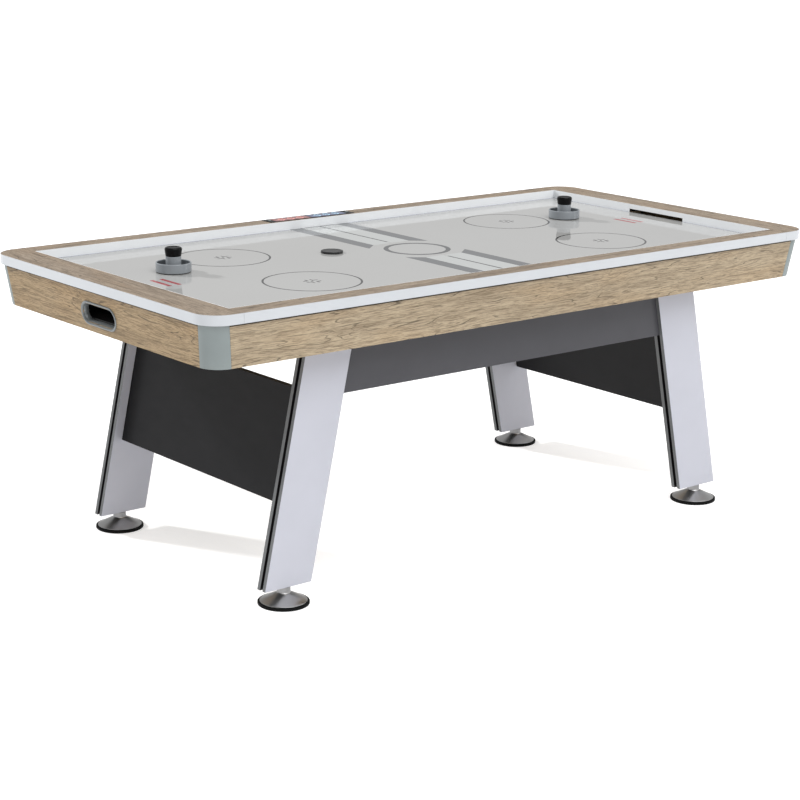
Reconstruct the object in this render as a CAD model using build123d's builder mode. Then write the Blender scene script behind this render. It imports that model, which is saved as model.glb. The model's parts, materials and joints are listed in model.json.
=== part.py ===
from build123d import *
import os
from math import atan, cos, degrees, sin

# Air hockey table, 84 x 42 x 32 inches. Millimetres.
# Origin on the floor under the middle of the table. +X runs along the table,
# the scorer is in the rail on the +Y side, +Z is up.

os.makedirs("parts", exist_ok=True)

# ---- driving dimensions -------------------------------------------------------
TABLE_LENGTH = 2133.6
TABLE_WIDTH = 1066.8
RAIL_TOP = 812.8
RAIL_THICK = 26.0
SIDE_RAIL_WIDTH = 66.0
END_RAIL_WIDTH = 101.7
RAIL_CORNER_RADIUS = 69.0
BAND_THICK = 2.0            # white edge band round the rails
LINER_THICK = 1.5           # white strip on the inner faces of the rails

FIELD_THICK = 12.0
FIELD_INSET = 44.0          # playfield edge, in from the table's outline
NOTCH_ROOM = 3.0            # playfield notch, beyond each end of the goal slot

APRON_BOTTOM = 673.7
APRON_THICK = 15.0
APRON_TOP_INSET = 10.2      # the rail overhangs the apron by this much
APRON_FOOT_INSET = 24.9     # the apron leans in towards its bottom edge
COVER_RADIUS = 55.0         # rounded plastic cover over each cabinet corner

BOARD_BOTTOM = 684.0        # underside of the cabinet's bottom board
BOARD_THICK = 9.0
BOARD_INSET = 39.5
BOARD_CORNER_RADIUS = 42.0
BATTEN_THICK = 15.0
JOIST_PLACES = (-640.0, -320.0, 320.0, 640.0)
JOIST_AIR_HOLE_RADIUS = 22.0
JOIST_HOLE_PLACES = (-240.0, 0.0, 240.0)
CHAMBER_INSET = 5.0         # short strips stand in from the ends of the well
CORNER_BLOCK = 46.0
GAP = 0.2                   # between neighbouring wooden battens

GOAL_WIDTH = 231.0
GOAL_HEIGHT = 11.0
GOAL_POCKET_DEPTH = 76.0    # room behind the goal slot for a puck to drop
GOAL_POCKET_ROOM = 11.0     # and beyond each end of it, for the sensors
SENSOR_SIZE = (10.0, 5.5, 8.0)
SENSOR_PLACE = (18.0, 4.0, 1.0)    # behind the liner, beyond the slot, over the field
RETURN_CENTRE = 723.0       # height of the puck-return opening
RETURN_OPENING = (150.0, 44.0)
RETURN_RADIUS = 20.0
RETURN_RIM = 10.0           # bezel flange beyond the opening
RETURN_WALL = 2.0
BEZEL_PROUD = 3.0
BEZEL_EDGE = 1.2            # rounding of the bezel's front edges
SLEEVE_ROOM = 1.0           # apron hole over the bezel's sleeve, and over the inlet
TUB_WALL = 2.5
TUB_FLOOR = (21.0, 10.0)    # the floor slopes down from back to front
TUB_ROOM = 6.0              # tub beyond each end of the goal slot
TUB_BACK_INSET = 4.0
TUB_FRONT_GAP = 0.5

LEG_TAN = 0.2126            # the legs splay outward by 12 degrees
LEG_BOTTOM = 48.0
LEG_OUTER_X = 830.4         # leg edges at the bottom of the leg
LEG_INNER_X = 684.4
LEG_FACE_Y = 419.0          # outer face of the legs
LEG_BOARD = 12.0
LEG_CORE = 11.0
CORE_RECESS = 12.0          # the dark core sits back from the board edges
STRETCHER_BOTTOM = 531.0
STRETCHER_TONGUE = 10.0     # how far a stretcher enters the groove in a leg
PANEL_SETBACK = 27.0        # end panel, in from the leg's outer edge
PANEL_THICK = 15.0
PANEL_BOTTOM = 262.0
PANEL_TOP = 556.0

BRACKET_X = (592.0, 668.0)
BRACKET_BOTTOM = 622.0
BRACKET_ARM = 44.0
BRACKET_THICK = 3.0
SCREW_RADIUS = 3.0
SCREW_HEAD_RADIUS = 6.0
SCREW_HEAD_THICK = 3.5
SCREW_PLACES = ((612.0, 645.0), (648.0, 645.0))   # X and Z of the screws in a bracket

FOOT_X = 760.0
FOOT_Y = 401.5
PAD_RADIUS = 67.5
PAD_THICK = 9.0
CONE_RIM_RADIUS = 62.0
NECK_RADIUS = 18.0
NECK_FOOT = 31.5            # where the cone meets its neck
CONE_EDGE = 1.5             # upright edge of the cone's rim, and its other small steps
PAD_EDGE = 1.5              # bevel under the pad
SEAT_DEPTH = 5.0            # the stem's seat in the cone, over the pad
STEM_RADIUS = 5.0
STEM_TOP = 126.0
INSERT_RADIUS = 8.0
INSERT_TOP = 80.0
STEM_ROOM = 6.0             # radius of the hole over the threaded insert
RUNNING_GAP = 0.3           # between round faces that move past each other

PUSHER_PLACES = {"left": (-749.0, 112.0), "right": (714.7, 151.3)}
PUSHER_RADIUS = 48.0
PUSHER_WALL = 4.0
PUSHER_RIM = 27.0           # heights above the pusher's underside
PUSHER_FLOOR = 8.0
POST_RADIUS = 21.0
POST_TOP = 43.0
CAP_RADIUS = 23.5
CAP_TOP = 67.0
CAP_SHOULDER = (6.0, 2.0)   # widest place and rounding of the cap, down from its top
FELT_THICK = 2.0
FELT_INSET = 1.0
PUSHER_EDGE = 1.0           # bevels of the cup's rim
PUSHER_COVE = 2.0           # and of the foot of its walls
PUCK_EDGE = 0.8
PUCK_PLACE = (-233.6, 93.1)
PUCK_RADIUS = 31.5
PUCK_THICK = 6.0
HOVER = 0.2                 # pushers and puck float this far over the playfield

SCORER_X = -15.5
SCORER_SIZE = (311.0, 50.0, 20.0)
SCORER_PROUD = 1.5
SCORER_FRAME = 5.0
SCORER_FLOOR = 2.0
WINDOW_SIZE = (128.0, 40.0, 2.5)
WINDOW_LEDGE = (3.0, 2.0)   # the windows rest on ledges of this width along X and Y
BUTTON_OFFSET = 144.0       # button centres, from the scorer's middle
BUTTON_RADIUS = 4.5
BUTTON_PROUD = 2.0
BUTTON_DEPTH = 3.5
BUTTON_WELL = 6.0
BUTTON_EDGE = 0.6
SCORER_BOARD_THICK = 1.6
SCORER_BOARD_INSET = (6.0, 4.0)

BLOWER_RADIUS = 95.0
BLOWER_BOTTOM = 600.0
BLOWER_WALL = 2.5
BLOWER_FLANGE_RADIUS = 112.0
BLOWER_FLANGE_THICK = 3.0
GRILLE_THICK = 5.0
SPOKE_COUNT = 5
SPOKE_WIDTH = 9.0
AIR_HOLE_RADIUS = 60.0
MOTOR_SEAT_RADIUS = 33.0
MOTOR_RADIUS = 32.0
MOTOR_HEIGHT = 33.0
MOTOR_EDGE = 3.0
SHAFT_RADIUS = 4.0
SHAFT_GAP = 0.05
HUB_RADIUS = 12.0
HUB_GAPS = (3.0, 10.0)      # room over the motor and under the bottom board
IMPELLER_RADIUS = 84.0
IMPELLER_DISC = 2.0
IMPELLER_BLADES = 12
BLADE_SIZE = (30.0, 2.0)
BLADE_INSET = 16.0          # blade middles, in from the impeller's edge
BLADE_TURN = 35.0
BLADE_DROP = 4.0            # blades end this far below the top of the hub

INLET_X = 760.0             # power inlet and switch, in the far apron
INLET_PLATE = (78.0, 36.0, 2.5)
INLET_BODY = (66.0, 28.0, 19.0)
INLET_CORNERS = (4.0, 2.0)  # corner radii of the plate and of the body behind it
SOCKET_OFFSET = -14.0
SOCKET_SIZE = (27.0, 20.0, 16.0)
ROCKER_OFFSET = 20.0
ROCKER_SIZE = (12.0, 20.0)
ROCKER_ROOM = 1.5
ROCKER_POCKET = 14.0
ROCKER_PROUD = 1.0          # ends of the rocker, over the front of the plate
ROCKER_ARCH = 1.5           # its face rises this much more in the middle
ROCKER_DEPTH = 8.0          # underside of the rocker, behind the apron's face
PIVOT_DEPTH = 6.0           # the rocker's pivot pins, behind the apron's face
PIN_RADIUS = 1.2
PIN_REACH = 1.0             # pins enter the walls of the pocket by this much

# ---- sizes worked out from them ------------------------------------------------
HALF_L = TABLE_LENGTH / 2
HALF_W = TABLE_WIDTH / 2
FIELD_TOP = RAIL_TOP - RAIL_THICK
FIELD_BOTTOM = FIELD_TOP - FIELD_THICK
WELL_X = HALF_L - END_RAIL_WIDTH
WELL_Y = HALF_W - SIDE_RAIL_WIDTH
BOARD_TOP = BOARD_BOTTOM + BOARD_THICK
APRON_LEAN = (APRON_FOOT_INSET - APRON_TOP_INSET) / (FIELD_TOP - APRON_BOTTOM)
LEAN_ANGLE = atan(APRON_LEAN)
LEG_INNER_Y = LEG_FACE_Y - 2 * LEG_BOARD - LEG_CORE
CORE_Y = (LEG_INNER_Y + LEG_BOARD, LEG_INNER_Y + LEG_BOARD + LEG_CORE)
STRIP_Y = HALF_W - FIELD_INSET - BATTEN_THICK
SIDES = {"left": -1, "right": 1}
LONG_SIDES = {"near": -1, "far": 1}
CORNERS = {f"{far}_{end}": (SIDES[end], LONG_SIDES[far]) for far in LONG_SIDES for end in SIDES}


# ---- helpers ---------------------------------------------------------------------
def keep(piece, label):
    """Label a finished piece and write its STEP file."""
    piece.part.label = label
    export_step(piece.part, f"parts/{label}.step")


def ordered(a, b):
    return (a, b) if a < b else (b, a)


def block(x_span, y_span, z_span, mode=Mode.ADD):
    """Add or cut a box given by its three spans."""
    spans = [ordered(*span) for span in (x_span, y_span, z_span)]
    with Locations([tuple((low + high) / 2 for low, high in spans)]):
        Box(*(high - low for low, high in spans), mode=mode)


def prism(outline, y_span, mode=Mode.ADD):
    """Extrude an X-Z outline along Y."""
    low, high = ordered(*y_span)
    with BuildSketch(Plane.XZ.offset(-high)) as profile:
        Polygon(*outline, align=None)
    extrude(profile.sketch, amount=high - low, mode=mode)


def turned(outline, axis_x, axis_y, mode=Mode.ADD):
    """Revolve a radius-height outline about an upright axis."""
    with BuildSketch(Plane.XZ.offset(-axis_y)) as profile:
        Polygon(*[(axis_x + r, z) for r, z in outline], align=None)
    upright = Axis((axis_x, axis_y, 0), (0, 0, 1))
    revolve(profile.sketch, axis=upright, mode=mode)


def drum(x, y, radius, z_span, mode=Mode.ADD):
    """Add or cut an upright cylinder."""
    with BuildSketch(Plane.XY.offset(z_span[0])) as profile:
        with Locations((x, y)):
            Circle(radius)
    extrude(profile.sketch, amount=z_span[1] - z_span[0], mode=mode)


def leg_edge(foot_x, z):
    """X of a leg edge at height z, from its X at the bottom of the leg."""
    return foot_x - (z - LEG_BOTTOM) * LEG_TAN


def apron_face(half, z):
    """Distance of the apron's outer face from the middle of the table at height z."""
    return half - APRON_TOP_INSET - (FIELD_TOP - z) * APRON_LEAN


def end_apron_plane(side):
    """Plane on the outer face of an end apron, at the puck return."""
    return Plane(
        origin=(side * apron_face(HALF_L, RETURN_CENTRE), 0, RETURN_CENTRE),
        x_dir=(0, side, 0),
        z_dir=(side * cos(LEAN_ANGLE), 0, -sin(LEAN_ANGLE)),
    )


def inlet_plane():
    """Plane on the outer face of the far apron, at the power inlet."""
    return Plane(
        origin=(INLET_X, apron_face(HALF_W, RETURN_CENTRE), RETURN_CENTRE),
        x_dir=(-1, 0, 0),
        z_dir=(0, cos(LEAN_ANGLE), -sin(LEAN_ANGLE)),
    )


def rounded_slab(plane, size, radius, amount, mode=Mode.ADD):
    """Extrude a rounded rectangle from a plane."""
    with BuildSketch(plane) as profile:
        RectangleRounded(*size, radius)
    extrude(profile.sketch, amount=amount, mode=mode)


def bore_for_foot(side_x, side_y):
    """Holes in a leg for the threaded insert and the stem above it."""
    x, y = side_x * FOOT_X, side_y * FOOT_Y
    drum(x, y, INSERT_RADIUS, (LEG_BOTTOM, INSERT_TOP), Mode.SUBTRACT)
    drum(x, y, STEM_ROOM, (INSERT_TOP, STEM_TOP + CORE_RECESS), Mode.SUBTRACT)


def bracket_screw(x, side_y, y_span, z, radius, mode=Mode.ADD):
    """A cylinder along Y: a screw's shank or head, or the hole for it."""
    low, high = ordered(side_y * y_span[0], side_y * y_span[1])
    with BuildSketch(Plane.XZ.offset(-high)) as profile:
        with Locations((x, z)):
            Circle(radius)
    extrude(profile.sketch, amount=high - low, mode=mode)


# ---- playfield and cabinet ---------------------------------------------------------
NOTCH_Y = GOAL_WIDTH / 2 + NOTCH_ROOM
with BuildPart() as playfield:
    block(
        (-HALF_L + FIELD_INSET, HALF_L - FIELD_INSET),
        (-HALF_W + FIELD_INSET, HALF_W - FIELD_INSET),
        (FIELD_BOTTOM, FIELD_TOP),
    )
    for side in SIDES.values():
        block(
            (side * (WELL_X + LINER_THICK * 2), side * HALF_L),
            (-NOTCH_Y, NOTCH_Y),
            (FIELD_BOTTOM, FIELD_TOP),
            Mode.SUBTRACT,
        )
keep(playfield, "playfield")

with BuildPart() as bottom_board:
    with BuildSketch(Plane.XY.offset(BOARD_BOTTOM)):
        RectangleRounded(
            TABLE_LENGTH - 2 * BOARD_INSET, TABLE_WIDTH - 2 * BOARD_INSET, BOARD_CORNER_RADIUS
        )
        Circle(AIR_HOLE_RADIUS, mode=Mode.SUBTRACT)
    extrude(amount=BOARD_THICK)
keep(bottom_board, "bottom_board")

# Long and short strips close the air chamber, joists carry the playfield across it,
# and a block stands in each corner of the cabinet.
CHAMBER_X = WELL_X - CHAMBER_INSET
with BuildPart() as cabinet_battens:
    height = (BOARD_TOP, FIELD_BOTTOM)
    for far in LONG_SIDES.values():
        block((-CHAMBER_X, CHAMBER_X), (far * STRIP_Y, far * (STRIP_Y + BATTEN_THICK)), height)
    for side in SIDES.values():
        short_x = (side * CHAMBER_X, side * (CHAMBER_X - BATTEN_THICK))
        block(short_x, (-STRIP_Y + GAP, STRIP_Y - GAP), height)
    for x in JOIST_PLACES:
        joist_y = STRIP_Y - GAP
        block((x - BATTEN_THICK / 2, x + BATTEN_THICK / 2), (-joist_y, joist_y), height)
    inner_span = CHAMBER_X - 2 * BATTEN_THICK
    with BuildSketch(Plane.YZ.offset(-inner_span)) as joist_holes:
        with Locations([(y, (BOARD_TOP + FIELD_BOTTOM) / 2) for y in JOIST_HOLE_PLACES]):
            Circle(JOIST_AIR_HOLE_RADIUS)
    extrude(joist_holes.sketch, amount=2 * inner_span, mode=Mode.SUBTRACT)
    for side_x, side_y in CORNERS.values():
        x = side_x * (CHAMBER_X + GAP)
        y = side_y * (STRIP_Y + BATTEN_THICK)
        block((x, x + side_x * CORNER_BLOCK), (y, y - side_y * CORNER_BLOCK), height)
keep(cabinet_battens, "cabinet_battens")


def apron_section(half_run, half, z, side, along_x):
    """Rectangle of an apron's horizontal section at height z."""
    middle = side * (apron_face(half, z) - APRON_THICK / 2)
    with BuildSketch(Plane.XY.offset(z)) as section:
        if along_x:
            with Locations((0, middle)):
                Rectangle(2 * half_run, APRON_THICK)
        else:
            with Locations((middle, 0)):
                Rectangle(APRON_THICK, 2 * half_run)
    return section.sketch


APRON_ENDS = (APRON_BOTTOM, FIELD_TOP)
for name, side in LONG_SIDES.items():
    with BuildPart() as apron:
        sections = [
            apron_section(apron_face(HALF_L, z) - COVER_RADIUS, HALF_W, z, side, True)
            for z in APRON_ENDS
        ]
        loft(sections, ruled=True)
        if name == "far":
            inlet_hole = [length + SLEEVE_ROOM for length in INLET_BODY[:2]]
            hole_corner = INLET_CORNERS[1] + SLEEVE_ROOM
            rounded_slab(inlet_plane(), inlet_hole, hole_corner, -APRON_THICK * 2, Mode.SUBTRACT)
    keep(apron, f"apron_{name}")

SLEEVE_SIZE = [length + 2 * RETURN_WALL for length in RETURN_OPENING]
SLEEVE_RADIUS = RETURN_RADIUS + RETURN_WALL
for name, side in SIDES.items():
    with BuildPart() as apron:
        sections = [
            apron_section(apron_face(HALF_W, z) - COVER_RADIUS, HALF_L, z, side, False)
            for z in APRON_ENDS
        ]
        loft(sections, ruled=True)
        hole = [length + SLEEVE_ROOM for length in SLEEVE_SIZE]
        hole_corner = SLEEVE_RADIUS + SLEEVE_ROOM / 2
        for depth in (-APRON_THICK * 2, APRON_THICK):
            rounded_slab(end_apron_plane(side), hole, hole_corner, depth, Mode.SUBTRACT)
    keep(apron, f"apron_{name}")

# Each cover is a quarter ring that leans in with the aprons it joins.
with BuildPart() as corner_covers:
    for side_x, side_y in CORNERS.values():
        quarters = []
        for z in APRON_ENDS:
            centre_x = side_x * (apron_face(HALF_L, z) - COVER_RADIUS)
            centre_y = side_y * (apron_face(HALF_W, z) - COVER_RADIUS)
            with BuildSketch(Plane.XY.offset(z)) as quarter:
                with Locations((centre_x, centre_y)):
                    Circle(COVER_RADIUS)
                    Circle(COVER_RADIUS - APRON_THICK, mode=Mode.SUBTRACT)
                middle = (centre_x + side_x * COVER_RADIUS / 2, centre_y + side_y * COVER_RADIUS / 2)
                with Locations(middle):
                    Rectangle(COVER_RADIUS, COVER_RADIUS, mode=Mode.INTERSECT)
            quarters.append(quarter.sketch)
        loft(quarters, ruled=True)
keep(corner_covers, "corner_covers")

# ---- rails -----------------------------------------------------------------------
CORE_X = WELL_X + LINER_THICK
CORE_WELL_Y = WELL_Y + LINER_THICK
POCKET_Y = GOAL_WIDTH / 2 + GOAL_POCKET_ROOM
for name, side in SIDES.items():
    with BuildPart() as rail:
        with BuildSketch(Plane.XY.offset(FIELD_TOP)):
            RectangleRounded(
                TABLE_LENGTH - 2 * BAND_THICK,
                TABLE_WIDTH - 2 * BAND_THICK,
                RAIL_CORNER_RADIUS - BAND_THICK,
            )
            with Locations((side * (CORE_X + HALF_L) / 2, 0)):
                Rectangle(HALF_L - CORE_X, TABLE_WIDTH, mode=Mode.INTERSECT)
        extrude(amount=RAIL_THICK)
        block(
            (side * CORE_X, side * (WELL_X + GOAL_POCKET_DEPTH)),
            (-POCKET_Y, POCKET_Y),
            (FIELD_TOP, FIELD_TOP + GOAL_HEIGHT),
            Mode.SUBTRACT,
        )
    keep(rail, f"end_rail_{name}")

SCORER_Y = HALF_W - SIDE_RAIL_WIDTH / 2
SCORER_BOTTOM = RAIL_TOP + SCORER_PROUD - SCORER_SIZE[2]
for name, side in LONG_SIDES.items():
    with BuildPart() as rail:
        block(
            (-CORE_X, CORE_X),
            (side * CORE_WELL_Y, side * (HALF_W - BAND_THICK)),
            (FIELD_TOP, RAIL_TOP),
        )
        if name == "far":
            block(
                (SCORER_X - SCORER_SIZE[0] / 2, SCORER_X + SCORER_SIZE[0] / 2),
                (SCORER_Y - SCORER_SIZE[1] / 2, SCORER_Y + SCORER_SIZE[1] / 2),
                (SCORER_BOTTOM, RAIL_TOP),
                Mode.SUBTRACT,
            )
    keep(rail, f"side_rail_{name}")

with BuildPart() as edge_bands:
    with BuildSketch(Plane.XY.offset(FIELD_TOP)):
        RectangleRounded(TABLE_LENGTH, TABLE_WIDTH, RAIL_CORNER_RADIUS)
        RectangleRounded(
            TABLE_LENGTH - 2 * BAND_THICK,
            TABLE_WIDTH - 2 * BAND_THICK,
            RAIL_CORNER_RADIUS - BAND_THICK,
            mode=Mode.SUBTRACT,
        )
    extrude(amount=RAIL_THICK)
    for side_x, side_y in CORNERS.values():
        block(
            (side_x * CORE_X - GAP, side_x * CORE_X + GAP),
            (side_y * CORE_WELL_Y, side_y * HALF_W),
            (FIELD_TOP, RAIL_TOP),
            Mode.SUBTRACT,
        )
keep(edge_bands, "edge_bands")

with BuildPart() as side_liners:
    for side in LONG_SIDES.values():
        block((-WELL_X, WELL_X), (side * WELL_Y, side * CORE_WELL_Y), (FIELD_TOP, RAIL_TOP))
keep(side_liners, "side_liners")

with BuildPart() as goal_liners:
    for side in SIDES.values():
        strip_x = (side * WELL_X, side * CORE_X)
        block(strip_x, (-CORE_WELL_Y, CORE_WELL_Y), (FIELD_TOP, RAIL_TOP))
        slot_y = (-GOAL_WIDTH / 2, GOAL_WIDTH / 2)
        block(strip_x, slot_y, (FIELD_TOP, FIELD_TOP + GOAL_HEIGHT), Mode.SUBTRACT)
keep(goal_liners, "goal_liners")

# ---- puck returns ------------------------------------------------------------------
TUB_BACK = WELL_X - TUB_BACK_INSET
TUB_FRONT = apron_face(HALF_L, BOARD_TOP) - APRON_THICK - TUB_FRONT_GAP
TUB_FLOOR_BACK, TUB_FLOOR_FRONT = (BOARD_TOP + height for height in TUB_FLOOR)
TUB_Y = GOAL_WIDTH / 2 + TUB_ROOM
with BuildPart() as return_boxes:
    for side in SIDES.values():
        shell = (
            (TUB_BACK, BOARD_TOP),
            (TUB_FRONT, BOARD_TOP),
            (TUB_FRONT, FIELD_BOTTOM),
            (TUB_BACK, FIELD_BOTTOM),
        )
        hollow = (
            (TUB_BACK + TUB_WALL, TUB_FLOOR_BACK),
            (HALF_L, TUB_FLOOR_FRONT),
            (HALF_L, FIELD_TOP),
            (TUB_BACK + TUB_WALL, FIELD_TOP),
        )
        prism([(side * x, z) for x, z in shell], (-TUB_Y, TUB_Y))
        inner_y = TUB_Y - TUB_WALL
        prism([(side * x, z) for x, z in hollow], (-inner_y, inner_y), Mode.SUBTRACT)
keep(return_boxes, "return_boxes")

with BuildPart() as return_bezels:
    for side in SIDES.values():
        plane = end_apron_plane(side)
        flange = [length + 2 * RETURN_RIM for length in RETURN_OPENING]
        rounded_slab(plane, flange, RETURN_RADIUS + RETURN_RIM, BEZEL_PROUD)
        rounded_slab(plane, SLEEVE_SIZE, SLEEVE_RADIUS, -APRON_THICK)
        for depth in (-APRON_THICK, BEZEL_PROUD):
            rounded_slab(plane, RETURN_OPENING, RETURN_RADIUS, depth, Mode.SUBTRACT)
    outer_rims = [
        edge
        for edge in return_bezels.edges()
        if abs(edge.center().X) > apron_face(HALF_L, edge.center().Z) + BEZEL_PROUD * 0.8
    ]
    fillet(outer_rims, BEZEL_EDGE)
keep(return_bezels, "return_bezels")

with BuildPart() as goal_sensors:
    for side_x, side_y in CORNERS.values():
        x = side_x * (WELL_X + SENSOR_PLACE[0])
        y = side_y * (GOAL_WIDTH / 2 + SENSOR_PLACE[1])
        z = FIELD_TOP + SENSOR_PLACE[2]
        block(
            (x, x + side_x * SENSOR_SIZE[0]),
            (y, y + side_y * SENSOR_SIZE[1]),
            (z, z + SENSOR_SIZE[2]),
        )
keep(goal_sensors, "goal_sensors")

# ---- legs ------------------------------------------------------------------------------
def leg_outline(side, recess, bottom):
    """Leaning outline of a leg layer, set back from the leg's edges."""
    rim = (
        (LEG_INNER_X + recess, bottom),
        (LEG_OUTER_X - recess, bottom),
        (LEG_OUTER_X - recess, BOARD_BOTTOM),
        (LEG_INNER_X + recess, BOARD_BOTTOM),
    )
    return [(side * leg_edge(x, z), z) for x, z in rim]


def drill_for_bracket(side_x, side_y):
    """Holes in a leg for the two screws of its bracket."""
    for x, z in SCREW_PLACES:
        hole_y = (LEG_INNER_Y, CORE_Y[1])
        bracket_screw(side_x * x, side_y, hole_y, z, SCREW_RADIUS, Mode.SUBTRACT)


for name, (side_x, side_y) in CORNERS.items():
    with BuildPart() as leg_boards:
        for y_span in ((LEG_INNER_Y, CORE_Y[0]), (CORE_Y[1], LEG_FACE_Y)):
            prism(leg_outline(side_x, 0, LEG_BOTTOM), [side_y * y for y in y_span])
        bore_for_foot(side_x, side_y)
        drill_for_bracket(side_x, side_y)
    keep(leg_boards, f"leg_boards_{name}")

with BuildPart() as leg_cores:
    for side_x, side_y in CORNERS.values():
        core_y = [side_y * y for y in CORE_Y]
        prism(leg_outline(side_x, CORE_RECESS, LEG_BOTTOM + 1), core_y)
        bore_for_foot(side_x, side_y)
        drill_for_bracket(side_x, side_y)
keep(leg_cores, "leg_cores")

for name, side in LONG_SIDES.items():
    reach = LEG_INNER_X + STRETCHER_TONGUE
    low_x = leg_edge(reach, STRETCHER_BOTTOM)
    high_x = leg_edge(reach, BOARD_BOTTOM)
    with BuildPart() as stretcher:
        outline = (
            (-low_x, STRETCHER_BOTTOM),
            (low_x, STRETCHER_BOTTOM),
            (high_x, BOARD_BOTTOM),
            (-high_x, BOARD_BOTTOM),
        )
        prism(outline, [side * y for y in CORE_Y])
    keep(stretcher, f"stretcher_{name}")

for name, side in SIDES.items():
    face = LEG_OUTER_X - PANEL_SETBACK
    with BuildPart() as end_panel:
        rim = (
            (face, PANEL_BOTTOM),
            (face, PANEL_TOP),
            (face - PANEL_THICK, PANEL_TOP),
            (face - PANEL_THICK, PANEL_BOTTOM),
        )
        prism([(side * leg_edge(x, z), z) for x, z in rim], (-LEG_INNER_Y, LEG_INNER_Y))
    keep(end_panel, f"end_panel_{name}")

with BuildPart() as leg_brackets:
    for side_x, side_y in CORNERS.values():
        x_span = [side_x * x for x in BRACKET_X]
        upright_y = (side_y * LEG_INNER_Y, side_y * (LEG_INNER_Y - BRACKET_THICK))
        shelf_y = (side_y * LEG_INNER_Y, side_y * (LEG_INNER_Y - BRACKET_ARM))
        block(x_span, upright_y, (BRACKET_BOTTOM, BOARD_BOTTOM))
        block(x_span, shelf_y, (BOARD_BOTTOM - BRACKET_THICK, BOARD_BOTTOM))
        for x, z in SCREW_PLACES:
            hole_y = (LEG_INNER_Y, LEG_INNER_Y - BRACKET_THICK)
            bracket_screw(side_x * x, side_y, hole_y, z, SCREW_RADIUS, Mode.SUBTRACT)
keep(leg_brackets, "leg_brackets")

with BuildPart() as leg_screws:
    for side_x, side_y in CORNERS.values():
        head_y = LEG_INNER_Y - BRACKET_THICK
        for x, z in SCREW_PLACES:
            bracket_screw(side_x * x, side_y, (head_y, CORE_Y[1] - 1), z, SCREW_RADIUS)
            head_span = (head_y, head_y - SCREW_HEAD_THICK)
            bracket_screw(side_x * x, side_y, head_span, z, SCREW_HEAD_RADIUS)
keep(leg_screws, "leg_screws")

with BuildPart() as leg_inserts:
    for side_x, side_y in CORNERS.values():
        x, y = side_x * FOOT_X, side_y * FOOT_Y
        drum(x, y, INSERT_RADIUS, (LEG_BOTTOM, INSERT_TOP))
        bore = STEM_RADIUS + RUNNING_GAP
        drum(x, y, bore, (LEG_BOTTOM, INSERT_TOP), Mode.SUBTRACT)
keep(leg_inserts, "leg_inserts")

# ---- levelling feet: a stem turns in the insert and carries a cone on a rubber pad -------
SEAT = PAD_THICK + SEAT_DEPTH
for name, (side_x, side_y) in CORNERS.items():
    x, y = side_x * FOOT_X, side_y * FOOT_Y
    with BuildPart() as foot_pad:
        turned(
            (
                (0, 0),
                (PAD_RADIUS - PAD_EDGE, 0),
                (PAD_RADIUS, PAD_EDGE),
                (PAD_RADIUS, PAD_THICK - PAD_EDGE),
                (PAD_RADIUS - PAD_EDGE, PAD_THICK),
                (0, PAD_THICK),
            ),
            x,
            y,
        )
    keep(foot_pad, f"foot_pad_{name}")
    with BuildPart() as foot_cone:
        bore = STEM_RADIUS + RUNNING_GAP
        turned(
            (
                (0, PAD_THICK),
                (CONE_RIM_RADIUS, PAD_THICK),
                (CONE_RIM_RADIUS, PAD_THICK + CONE_EDGE),
                (NECK_RADIUS + CONE_EDGE, NECK_FOOT),
                (NECK_RADIUS, NECK_FOOT + CONE_EDGE),
                (NECK_RADIUS, LEG_BOTTOM - RUNNING_GAP),
                (bore, LEG_BOTTOM - RUNNING_GAP),
                (bore, SEAT),
                (0, SEAT),
            ),
            x,
            y,
        )
    keep(foot_cone, f"foot_cone_{name}")
    with BuildPart() as leveler_stem:
        drum(x, y, STEM_RADIUS, (SEAT + RUNNING_GAP, STEM_TOP))
        chamfer(leveler_stem.edges().group_by(Axis.Z)[-1], STEM_RADIUS / 3)
    keep(leveler_stem, f"leveler_stem_{name}")

# ---- pushers and puck -----------------------------------------------------------------------
GLIDE = FIELD_TOP + HOVER
for name, (x, y) in PUSHER_PLACES.items():
    with BuildPart() as pusher_felt:
        drum(x, y, PUSHER_RADIUS - FELT_INSET, (GLIDE, GLIDE + FELT_THICK))
    keep(pusher_felt, f"pusher_felt_{name}")
    with BuildPart() as pusher_base:
        bowl = PUSHER_RADIUS - PUSHER_WALL
        outline = (
            (0, FELT_THICK),
            (PUSHER_RADIUS, FELT_THICK),
            (PUSHER_RADIUS, PUSHER_RIM - PUSHER_EDGE),
            (PUSHER_RADIUS - PUSHER_EDGE, PUSHER_RIM),
            (bowl + PUSHER_EDGE, PUSHER_RIM),
            (bowl, PUSHER_RIM - PUSHER_EDGE),
            (bowl, PUSHER_FLOOR + PUSHER_COVE),
            (bowl - PUSHER_COVE, PUSHER_FLOOR),
            (POST_RADIUS + PUSHER_COVE, PUSHER_FLOOR),
            (POST_RADIUS, PUSHER_FLOOR + PUSHER_COVE),
            (POST_RADIUS, POST_TOP),
            (0, POST_TOP),
        )
        turned([(r, GLIDE + z) for r, z in outline], x, y)
    keep(pusher_base, f"pusher_base_{name}")
    with BuildPart() as pusher_cap:
        outline = (
            (0, POST_TOP),
            (POST_RADIUS, POST_TOP),
            (CAP_RADIUS, CAP_TOP - CAP_SHOULDER[0]),
            (CAP_RADIUS - CAP_SHOULDER[1] / 2, CAP_TOP - CAP_SHOULDER[1]),
            (CAP_RADIUS - CAP_SHOULDER[1] * 3 / 2, CAP_TOP),
            (0, CAP_TOP),
        )
        turned([(r, GLIDE + z) for r, z in outline], x, y)
    keep(pusher_cap, f"pusher_cap_{name}")

with BuildPart() as puck:
    drum(*PUCK_PLACE, PUCK_RADIUS, (GLIDE, GLIDE + PUCK_THICK))
    chamfer(puck.edges(), PUCK_EDGE)
keep(puck, "puck")

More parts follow.
